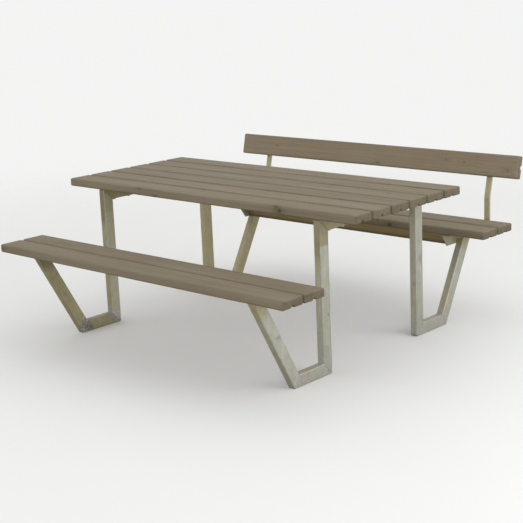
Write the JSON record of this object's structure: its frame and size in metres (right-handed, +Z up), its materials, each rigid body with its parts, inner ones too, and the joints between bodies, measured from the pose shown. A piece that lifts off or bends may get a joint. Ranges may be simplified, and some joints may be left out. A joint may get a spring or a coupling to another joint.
{
  "type": "picnic table",
  "caption": "Picnic table with wooden plank top and two attached plank benches, one with a low backrest, carried by bent-line galvanised steel tube end frames.",
  "frame": {"origin": "on the ground, under the middle of the whole table's footprint", "axes": "+X along the planks, +Y towards the bench with the backrest, +Z up"},
  "size_m": [1.77, 1.7486, 0.7725],
  "materials": {
    "wood_planks": "weathered grey-brown stained softwood, matt",
    "wood_rail": "brown stained softwood, matt",
    "galvanised_tube": "hot-dip galvanised, dull with faint spangle",
    "galvanised_flat_bar": "hot-dip galvanised, dull with faint spangle",
    "zinc_plated_screws": "zinc plated, satin"
  },
  "bodies": {
    "root": {"table_plank_1": "wood_planks", "table_plank_2": "wood_planks", "table_plank_3": "wood_planks", "table_plank_4": "wood_planks", "table_plank_5": "wood_planks", "table_plank_6": "wood_planks", "front_seat_plank_1": "wood_planks", "front_seat_plank_2": "wood_planks", "rear_seat_plank_1": "wood_planks", "rear_seat_plank_2": "wood_planks", "backrest_plank": "wood_planks", "rear_seat_rail": "wood_rail", "left_front_slanted_leg": "galvanised_tube", "left_front_foot_bar": "galvanised_tube", "left_front_upright": "galvanised_tube", "left_table_bar": "galvanised_tube", "left_rear_upright": "galvanised_tube", "left_rear_foot_bar": "galvanised_tube", "left_rear_slanted_leg": "galvanised_tube", "left_front_seat_plate": "galvanised_tube", "left_rear_seat_angle": "galvanised_tube", "left_backrest_post": "galvanised_flat_bar", "left_table_screw_1": "zinc_plated_screws", "left_table_screw_2": "zinc_plated_screws", "left_table_screw_3": "zinc_plated_screws", "left_table_screw_4": "zinc_plated_screws", "left_table_screw_5": "zinc_plated_screws", "left_table_screw_6": "zinc_plated_screws", "left_front_seat_screw_1": "zinc_plated_screws", "left_front_seat_screw_2": "zinc_plated_screws", "left_rear_seat_screw_1": "zinc_plated_screws", "left_rear_seat_screw_2": "zinc_plated_screws", "left_post_screw_1": "zinc_plated_screws", "left_post_screw_2": "zinc_plated_screws", "left_backrest_screw_1": "zinc_plated_screws", "left_backrest_screw_2": "zinc_plated_screws", "right_front_slanted_leg": "galvanised_tube", "right_front_foot_bar": "galvanised_tube", "right_front_upright": "galvanised_tube", "right_table_bar": "galvanised_tube", "right_rear_upright": "galvanised_tube", "right_rear_foot_bar": "galvanised_tube", "right_rear_slanted_leg": "galvanised_tube", "right_front_seat_plate": "galvanised_tube", "right_rear_seat_angle": "galvanised_tube", "right_backrest_post": "galvanised_flat_bar", "right_table_screw_1": "zinc_plated_screws", "right_table_screw_2": "zinc_plated_screws", "right_table_screw_3": "zinc_plated_screws", "right_table_screw_4": "zinc_plated_screws", "right_table_screw_5": "zinc_plated_screws", "right_table_screw_6": "zinc_plated_screws", "right_front_seat_screw_1": "zinc_plated_screws", "right_front_seat_screw_2": "zinc_plated_screws", "right_rear_seat_screw_1": "zinc_plated_screws", "right_rear_seat_screw_2": "zinc_plated_screws", "right_post_screw_1": "zinc_plated_screws", "right_post_screw_2": "zinc_plated_screws", "right_backrest_screw_1": "zinc_plated_screws", "right_backrest_screw_2": "zinc_plated_screws"}
  },
  "joints": []
}
